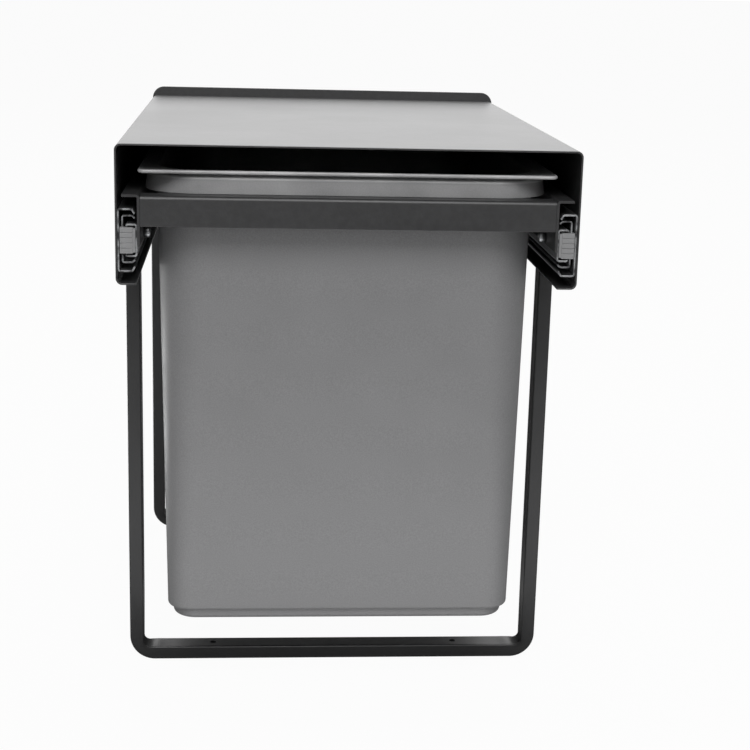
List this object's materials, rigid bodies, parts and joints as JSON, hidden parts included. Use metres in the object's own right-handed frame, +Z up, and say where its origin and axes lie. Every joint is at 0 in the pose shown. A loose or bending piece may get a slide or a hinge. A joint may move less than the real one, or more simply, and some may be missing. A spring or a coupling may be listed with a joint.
{
  "type": "pull-out bin frame",
  "caption": "Sheet-steel cover on tube floor hoops, with a carriage that hangs a tapered plastic bin and pulls out on three-part ball slides.",
  "frame": {"origin": "on the floor, under the middle of the width and depth of the closed frame", "axes": "+Z up, -Y toward the front, the way the carriage pulls out, X across the width"},
  "size_m": [0.364, 0.504, 0.479],
  "materials": {
    "graphite_coat": "satin powder coat with a fine orange peel",
    "zinc_steel": "bright zinc plate",
    "cage_steel": "plain rolled strip",
    "ball_steel": "polished",
    "buffer_plastic": "moulded, ribbed",
    "bin_plastic": "fine moulded texture"
  },
  "bodies": {
    "frame": {"cover_housing": "graphite_coat", "rear_panel": "graphite_coat", "front_hoop": "graphite_coat", "rear_hoop": "graphite_coat", "outer_member_left": "zinc_steel", "outer_member_right": "zinc_steel"},
    "middle_members": {"middle_member_left": "zinc_steel", "middle_member_right": "zinc_steel"},
    "outer_cages": {"outer_cage_left": "cage_steel", "outer_cage_right": "cage_steel", "outer_balls_left": "ball_steel", "outer_balls_right": "ball_steel"},
    "inner_cages": {"inner_cage_left": "cage_steel", "inner_cage_right": "cage_steel", "inner_balls_left": "ball_steel", "inner_balls_right": "ball_steel"},
    "carriage": {"inner_member_left": "zinc_steel", "inner_member_right": "zinc_steel", "rail_left": "graphite_coat", "rail_right": "graphite_coat", "rail_rivets_left": "zinc_steel", "rail_rivets_right": "zinc_steel", "front_crossbar": "graphite_coat", "rear_crossbar": "graphite_coat", "end_buffer_left": "buffer_plastic", "end_buffer_right": "buffer_plastic"},
    "bin": {"bin": "bin_plastic"}
  },
  "joints": [
    {"name": "carriage_slide", "type": "slide", "parent": "frame", "child": "carriage", "axis": [0, -1, 0], "range_m": [0, 0.495]},
    {"name": "middle_slide", "type": "slide", "parent": "frame", "child": "middle_members", "axis": [0, -1, 0], "range_m": [0, 0.2475]},
    {"name": "outer_cage_slide", "type": "slide", "parent": "frame", "child": "outer_cages", "axis": [0, -1, 0], "range_m": [0, 0.12375]},
    {"name": "inner_cage_slide", "type": "slide", "parent": "frame", "child": "inner_cages", "axis": [0, -1, 0], "range_m": [0, 0.37125]},
    {"name": "bin_lift", "type": "slide", "parent": "carriage", "child": "bin", "axis": [0, 0, 1], "range_m": [0, 0.016]}
  ],
  "couplings": [
    {"joint": "middle_slide", "follows": "carriage_slide", "ratio": 0.5},
    {"joint": "outer_cage_slide", "follows": "carriage_slide", "ratio": 0.25},
    {"joint": "inner_cage_slide", "follows": "carriage_slide", "ratio": 0.75}
  ]
}
